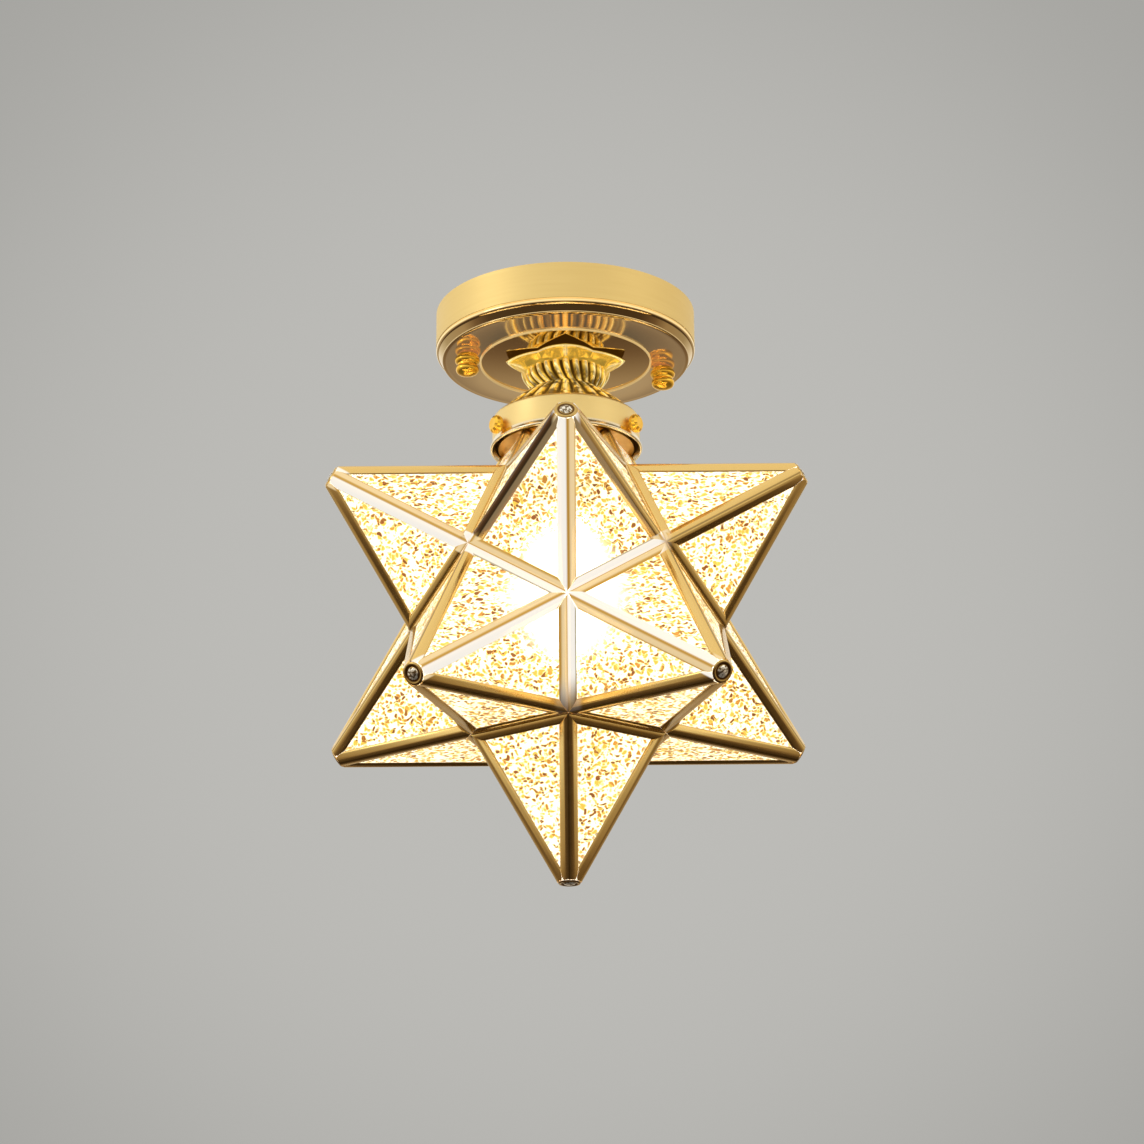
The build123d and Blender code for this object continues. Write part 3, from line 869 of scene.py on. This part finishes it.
def ridge_master(shape, cut_z=None):
    """One strip over a ridge of a point, from its tip down to an inner corner."""
    apex = Vector((0, 0, shape.apex_z))
    foot = Vector((shape.base_r, 0, shape.base_z))
    run = (foot - apex).normalized()
    across = Vector((0, 1, 0))
    limits = wedge(apex, run, Vector((0, 0, 1)), math.pi / 5)
    limits += wedge(foot, -run, foot.normalized(), math.pi / 6)
    top = shape.tip_z if cut_z is None else cut_z
    limits.append((Vector((0, 0, top)), Vector((0, 0, -1))))
    return strip_mesh(strip_section(1), apex, across, run.cross(across), run, limits)


def valley_master(shape):
    """One strip along an inner edge."""
    half = star_sizes().edge / 2
    middle = Vector((0, 0, shape.valley_r))
    run = Vector((1, 0, 0))
    limits = []
    for side in (-1, 1):
        corner = Vector((side * half, 0, shape.valley_r))
        limits += wedge(corner, Vector((-side, 0, 0)), corner.normalized(), math.pi / 6)
    return strip_mesh(strip_section(-1), middle, Vector((0, 1, 0)), Vector((0, 0, 1)), run, limits)


class GlassPanes(bpy.types.Operator):
    """Hammered glass panes of all twelve points"""

    bl_idname = "star_light.glass"
    bl_label = "Glass panes"

    def execute(self, context):
        s = star_sizes()
        shape = StarShape()
        tree = hammer_tree()
        for name, place in shape.points().items():
            cut = shape.neck_z if name == "top" else None
            piece = pane_set(f"glass_{name}", place, shape, cut)
            tree.apply(piece, **{"Dimple width": s.dimple, "Dimple depth": s.depth})
            settle(piece, "star", "hammered_glass", f"panes_{name}")
        return {"FINISHED"}


class BrassStrips(bpy.types.Operator):
    """Folded brass strips on every ridge and valley"""

    bl_idname = "star_light.strips"
    bl_label = "Brass strips"

    def execute(self, context):
        shape = StarShape()
        tree = repeat_tree("strip_set", "strip_brass")
        points = shape.points()
        top = points.pop("top")
        neck = [top @ turn for turn in fifths(FIFTH / 2)]
        ridges = [p @ turn for p in points.values() for turn in fifths(FIFTH / 2)]
        sets = (
            ("ridge_strips", ridge_master(shape), ridges, [f"ridges_{n}" for n in points]),
            ("neck_strips", ridge_master(shape, shape.neck_z), neck, ["ridges_top"]),
            ("valley_set", valley_master(shape), shape.valleys(), ["valley_strips"]),
        )
        for name, master, places, nodes in sets:
            settle(repeated(name, tree, master, places), "star", "strip_brass", *nodes)
        return {"FINISHED"}


class TipBeads(bpy.types.Operator):
    """Solder beads on the blunt tips"""

    bl_idname = "star_light.tips"
    bl_label = "Tip beads"

    def execute(self, context):
        shape = StarShape()
        r = star_sizes().tip / 2
        bead_r = 0.6 * r
        outline = [(0, 0.0011), (bead_r * 0.3, 0.00107), (bead_r * 0.55, 0.00097), (bead_r * 0.78, 0.00078)]
        outline += [(bead_r * 0.93, 0.00052), (bead_r, 0.0003), (r * 0.72, 0.0003), (r * 0.82, 0.0006)]
        outline += [(r * 0.98, 0.0006), (r * 1.06, 0.0001), (0, 0.0)]
        points, faces = lathe(outline, 20, Matrix.Translation((0, 0, shape.tip_z)))
        reaches = [math.hypot(p.x, p.y) / r for p in points]
        # Shares for the solder finish: the bead gets a painted glint, the ring round it painted shade, the
        # rim stays pale
        ridge = [1.0 if share < 0.58 else 0.7 if share > 0.8 else 0.0 for share in reaches]
        bead = mesh_object("bead_master", points, faces, "solder", smooth=60.0, ridge=ridge)
        tree = repeat_tree("tip_set", "solder")
        piece = repeated("tip_beads", tree, bead, [p for n, p in shape.points().items() if n != "top"])
        settle(piece, "star", "strip_brass", "tip_caps")
        return {"FINISHED"}


class Canopy(bpy.types.Operator):
    """Spun canopy with a rounded shoulder and a shallow tier"""

    bl_idname = "star_light.canopy"
    bl_label = "Canopy"

    def execute(self, context):
        r = radius("canopy")
        low = level("canopy", 0)
        flat = low + 0.001
        wall = 0.0009
        bend = 0.005
        tier = tier_radius()
        outline = [(r, 0.0), (r, flat + 0.0056), (r - 0.0004, flat + 0.0053)]
        outline += arc((r - 0.0012, flat + 0.0043), 0.0012, 55, -65, 8)
        outline += [(r - 0.001, flat + 0.0031)] + arc((r - 0.003, flat + 0.0005), 0.0005, 27, -90, 6)
        outline += [(r - bend, flat)] + arc((tier + 0.0004, flat - 0.0004), 0.0004, 90, 180, 4)
        outline += arc((tier - 0.0003, low + 0.0003), 0.0003, 0, -180, 6)
        outline += [(tier - 0.0006, low + 0.0009), (0.016, low)]
        outline += [(ROD_BORE, low), (ROD_BORE, low + wall), (tier - 0.001, low + wall), (tier, flat + wall)]
        outline += arc((r - bend, flat + bend), bend - wall, -90, 0, 8) + [(r - wall, 0.0)]
        piece = mesh_object("canopy_pan", *lathe(outline, 160), "canopy_brass", smooth=30.0)
        settle(piece, "fixture", "polished_brass", "canopy")
        return {"FINISHED"}


class CastNeck(bpy.types.Operator):
    """Leaf rosette, gadrooned knop and pleated bell"""

    bl_idname = "star_light.neck"
    bl_label = "Cast neck"

    def execute(self, context):
        self.rosette()
        knop = ((0.5, 0), (0.8, 0.05), (0.95, 0.12), (1, 0.22), (1, 0.32), (0.97, 0.42), (0.9, 0.52))
        knop += ((0.78, 0.62), (0.62, 0.71), (0.42, 0.8), (0.2, 0.88), (0.0, 0.95), (0.05, 1.0))
        self.fluted("knop_casting", "neck_knop", knop, widest=0.0168, lobes=24, depth=0.17, twist=-0.22)
        downs = [i / 14 for i in range(15)]
        bell = [(down + 0.3 * (down - down**2), down) for down in downs]
        self.fluted("bell_casting", "neck_bell", bell, widest=0.0286, lobes=28, depth=0.12, twist=0.0)
        return {"FINISHED"}

    def cast(self, name, rows, ridges, node):
        """Closes rows of points over the bore and settles the casting."""
        steps = len(rows[0])
        front = Matrix.Rotation(LAMP_TURN - math.pi / 2, 4, "Z")
        for z in (rows[-1][0].z, rows[0][0].z):
            rows.append(around(ROD_BORE, z, steps))
            ridges.extend([0.5] * steps)
        points, faces = skin([[front @ p for p in row] for row in rows])
        piece = mesh_object(name, points, faces, "gilt_cast", smooth=50.0, ridge=ridges)
        settle(piece, "fixture", "cast_brass", node)

    def rosette(self):
        """Five pointed leaves round a cup, one to the front, each with a rib, a rolled rim and a bent tip."""
        leaves, steps = 5, 240
        tip, notch, hub = 0.026, 0.0196, 0.0168
        bend, rib_width, rib_height, rim_height = 0.0014, 0.0016, 0.0011, 0.0004
        top, hub_z = level("leaf_rosette", 1), level("leaf_rosette", 0) - 0.0012
        rise = top - hub_z - 0.0005
        rows, ridges = [around(hub, top, steps)], [0.0] * steps
        shares = (1.0, 1.0, 0.97, 0.9, 0.8, 0.65, 0.5, 0.35, 0.2, 0.1, 0.0)
        for i, share in enumerate(shares):
            row = []
            for k in range(steps):
                turn = math.tau * k / steps
                off = abs((turn * leaves / math.tau + 0.5) % 1 - 0.5) * 2
                rim = notch + (tip - notch) * (1 - off) ** 1.2
                r = hub + (rim - hub) * share
                droop = bend * max(0.0, (r - notch) / (tip - notch)) ** 1.5
                side = off * math.pi / leaves * r
                rib = math.exp(-((side / rib_width) ** 2)) * math.sin(math.pi * share) ** 0.7
                lip = rim_height * math.exp(-(((share - 0.93) / 0.07) ** 2))
                z = top if i == 0 else hub_z + rise * share**0.75 - rib_height * rib - lip
                row.append(Vector((r * math.cos(turn), r * math.sin(turn), z - droop)))
                # Rib and rim get a higher share, a painted highlight; the top row keeps none, painted shade
                shine = 0.74 + 0.3 * rib + (0.26 if share > 0.85 else 0.0)
                ridges.append(0.0 if i == 0 else min(1.0, shine))
            rows.append(row)
        self.cast("rosette_casting", rows, ridges, "leaf_rosette")

    def fluted(self, name, node, outline, widest, lobes, depth, twist):
        """A turned form with rounded lobes that lean, deepest at the middle of its height.

        The outline has shares of the bulge from the waist to the widest radius, and of the way down.
        """
        top, bottom = level(node, 1), level(node, 0)
        steps = lobes * 10
        rows, ridges = [], []
        for i, (bulge, down) in enumerate(outline):
            r, z = NECK_WAIST + bulge * (widest - NECK_WAIST), top + (bottom - top) * down
            share = i / (len(outline) - 1)
            cut = depth * (0.35 + 0.65 * math.sin(math.pi * min(1.0, share + 0.08)))
            row = []
            for k in range(steps):
                turn = math.tau * k / steps
                wave = abs(math.cos(lobes * (turn + twist * share**2.5) / 2)) ** 0.6
                lobe = r * (1 - cut * (1 - wave))
                row.append(Vector((lobe * math.cos(turn), lobe * math.sin(turn), z)))
                # The lobe's share drives the painted shade in its valleys and the painted highlight on its
                # crest
                ridges.append(wave)
            rows.append(row)
        self.cast(name, rows, ridges, node)


class Gallery(bpy.types.Operator):
    """Cup with a rolled lip that holds the star"""

    bl_idname = "star_light.gallery"
    bl_label = "Gallery"

    def execute(self, context):
        top, low = level("gallery", 1), level("gallery", 0)
        r = radius("gallery") - 0.001
        wall = 0.0009
        edge = 0.0016
        outline = [(ROD_BORE, top), (r - edge, top)]
        outline += arc((r - edge, top - edge), edge, 80, 0, 6)
        outline += [(r, low + 0.0034), (r + 0.0002, low + 0.0026), (r + 0.0006, low + 0.0016)]
        outline += arc((r + 0.0003, low + 0.0007), 0.0007, 40, -90, 8)
        outline += [(r - wall + 0.001, low), (r - wall, low + 0.0016), (r - wall, top - wall - edge)]
        outline += [(r - wall - edge, top - wall), (ROD_BORE, top - wall)]
        piece = mesh_object("gallery_cup", *lathe(outline, 128), "satin_brass", smooth=30.0)
        settle(piece, "fixture", "satin_brass", "gallery")
        return {"FINISHED"}


class KnobNuts(bpy.types.Operator):
    """Two turned ball nuts under the canopy"""

    bl_idname = "star_light.knobs"
    bl_label = "Knob nuts"

    def execute(self, context):
        for side in ("left", "right"):
            low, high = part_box(f"knob_{side}")
            x = (low.x + high.x) / 2
            r = (high.x - low.x) / 2
            top, tall = high.z, high.z - low.z
            outline = [(0, top), (r * 0.8, top)]
            outline += arc((r * 0.62, top - tall * 0.25), r * 0.38, 70, -62, 8)
            outline += arc((r * 0.5, top - tall * 0.7), r * 0.42, 48, -75, 8)
            outline += [(r * 0.3, top - tall), (0, top - tall)]
            turned = lathe(outline, 40, Matrix.Translation((x, 0, 0)))
            piece = mesh_object(f"knob_nut_{side}", *turned, "plain_gilt", smooth=40.0)
            settle(piece, f"knob_{side}", "cast_brass", f"knob_{side}")
        return {"FINISHED"}


class Thumbscrews(bpy.types.Operator):
    """Three ribbed thumbscrews in the gallery"""

    bl_idname = "star_light.screws"
    bl_label = "Thumbscrews"

    def execute(self, context):
        dress("plain_gilt", "thumbscrew_1", "thumbscrew_2", "thumbscrew_3")
        return {"FINISHED"}


class Lamp(bpy.types.Operator):
    """Candle lamp and lampholder"""

    bl_idname = "star_light.lamp"
    bl_label = "Lamp"

    def execute(self, context):
        top, low = level("bulb_glass", 1), level("bulb_glass", 0)
        tall = top - low
        belly = radius("bulb_glass")
        neck = 0.00655
        rows = [(neck, top), (neck, top - 0.004)]
        shape = ((0.45, 0.1), (0.72, 0.2), (0.92, 0.31), (1, 0.43), (0.97, 0.53), (0.86, 0.66), (0.66, 0.79))
        shape += ((0.44, 0.89), (0.24, 0.96), (0.1, 0.99))
        rows += [(belly * across, top - tall * down) for across, down in shape] + [(0, low)]
        piece = mesh_object("lamp_envelope", *lathe([(0, top)] + rows, 48), "lamp_glass", smooth=60.0)
        settle(piece, "bulb", "lamp_glass", "bulb_glass")
        dress("cap_alloy", "bulb_cap", "bulb_contact")
        dress("phenolic", "bulb_insulator", "lampholder_body")
        dress("stem_glass", "bulb_stem")
        dress("filament", "bulb_filaments")
        dress("porcelain", "lampholder_insert")
        dress("bare_brass", "lampholder_contact", "lampholder_shell")
        return {"FINISHED"}


class Hardware(bpy.types.Operator):
    """Crossbar, studs, wiring and the hidden stack"""

    bl_idname = "star_light.hardware"
    bl_label = "Ceiling hardware"

    def execute(self, context):
        dress("zinc_steel", "crossbar", "canopy_studs", "stud_nuts", "earth_screw")
        dress("zinc_steel", "canopy_nut", "gallery_nut", "lock_washer", "threaded_rod")
        dress("white_plastic", "terminal_block")
        dress("brown_insulation", "lead_live")
        dress("blue_insulation", "lead_neutral")
        dress("bare_brass", "neck_ring")
        return {"FINISHED"}


class Stage(bpy.types.Operator):
    """Floor, studio light and camera"""

    bl_idname = "star_light.stage"
    bl_label = "Stage"

    def execute(self, context):
        s = context.scene.star_stage
        self.floor(s.floor)
        turn, rise = s.azimuth, s.elevation
        back = Vector((math.sin(turn) * math.cos(rise), -math.cos(turn) * math.cos(rise), math.sin(rise)))
        middle = Vector((0, 0, STAR_Z))
        self.camera(context, s, middle, back)
        self.light("key_light", Vector((-2.4, -0.65, 0.85)), middle, size=0.8, power=s.key)
        self.light("fill_light", Vector((1.9, -1.5, 1.0)), middle, size=1.6, power=s.fill)
        self.world(context, -back)
        context.scene.view_settings.view_transform = "Standard"
        return {"FINISHED"}

    def floor(self, height):
        size = 6.0
        corners = [(-size, -size, height), (size, -size, height), (size, size, height), (-size, size, height)]
        floor = mesh_object("floor", corners, [[0, 1, 2, 3]], "pale_floor")
        floor.visible_glossy = False

    def camera(self, context, s, middle, back):
        data = bpy.data.cameras.new("camera")
        data.sensor_width = 36.0
        data.lens = s.lens
        data.shift_x = s.shift_x
        data.shift_y = s.shift_y
        data.clip_start = 0.01
        camera = linked("camera", data)
        camera.location = middle + back * s.distance
        aim = (-back).to_track_quat("-Z", "Y").to_matrix().to_4x4()
        camera.rotation_euler = (aim @ Matrix.Rotation(s.roll, 4, "Z")).to_euler()
        context.scene.camera = camera

    def light(self, name, offset, target, size, power):
        data = bpy.data.lights.new(name, "AREA")
        data.size = size
        data.energy = power
        lamp = linked(name, data)
        lamp.location = target + offset
        lamp.rotation_euler = (target - lamp.location).to_track_quat("-Z", "Y").to_euler()

    def world(self, context, ahead):
        """A soft sky for the light, and a plain grey behind the object."""
        world = bpy.data.worlds.new("studio")
        world.use_nodes = True
        world.node_tree.nodes.clear()
        context.scene.world = world
        flow = Flow(world.node_tree)
        towards = flow.add("ShaderNodeTexCoord", out="Generated")
        up = towards.part("Z") * 0.5 + 0.5
        sky = flow.add("ShaderNodeValToRGB", {"Fac": up}, "Color", stops=SKY)
        facing = along(towards, ahead).ease(math.cos(math.radians(15)), 1.0)
        wall = facing.blend(tone("a6a5a1"), tone("bdbcb8"))
        seen = flow.add("ShaderNodeLightPath", out="Is Camera Ray")
        sides = along(towards, RIGHTWARD).ease(-1.0, 1.0)
        shade = sides.blend((1.07, 1.07, 1.07, 1), (0.93, 0.89, 0.82, 1))
        mixed = {"Factor": 1.0, "A": sky, "B": shade}
        shaded = flow.add("ShaderNodeMix", mixed, "Result", data_type="RGBA", blend_type="MULTIPLY")
        colour = seen.blend(shaded, wall)
        light = flow.add("ShaderNodeBackground", {"Color": colour}, "Background")
        flow.add("ShaderNodeOutputWorld", {"Surface": light})


class StarPanel(bpy.types.Panel):
    """Lists the steps that build the light"""

    bl_idname = "VIEW3D_PT_star_light"
    bl_label = "Star ceiling light"
    bl_space_type = "VIEW_3D"
    bl_region_type = "UI"
    bl_category = "Star light"

    def draw(self, context):
        for group in GROUPS:
            settings = getattr(context.scene, group)
            for name in settings.__annotations__:
                self.layout.prop(settings, name)
        for step in STEPS:
            self.layout.operator(step.bl_idname)


GROUPS = {"star_sizes": StarSizes, "star_finishes": FinishColours, "star_stage": StageSizes}
STEPS = (GlassPanes, BrassStrips, TipBeads, Canopy, CastNeck, Gallery)
STEPS += (KnobNuts, Thumbscrews, Lamp, Hardware, Stage)


def register():
    for name, group in GROUPS.items():
        bpy.utils.register_class(group)
        setattr(bpy.types.Scene, name, PointerProperty(type=group))
    for step in STEPS + (StarPanel,):
        bpy.utils.register_class(step)


def unregister():
    for step in (StarPanel,) + STEPS:
        bpy.utils.unregister_class(step)
    for name, group in GROUPS.items():
        delattr(bpy.types.Scene, name)
        bpy.utils.unregister_class(group)


def main():
    register()
    make_materials()
    for step in STEPS:
        group, name = step.bl_idname.split(".")
        getattr(getattr(bpy.ops, group), name)()


if __name__ == "__main__":
    main()
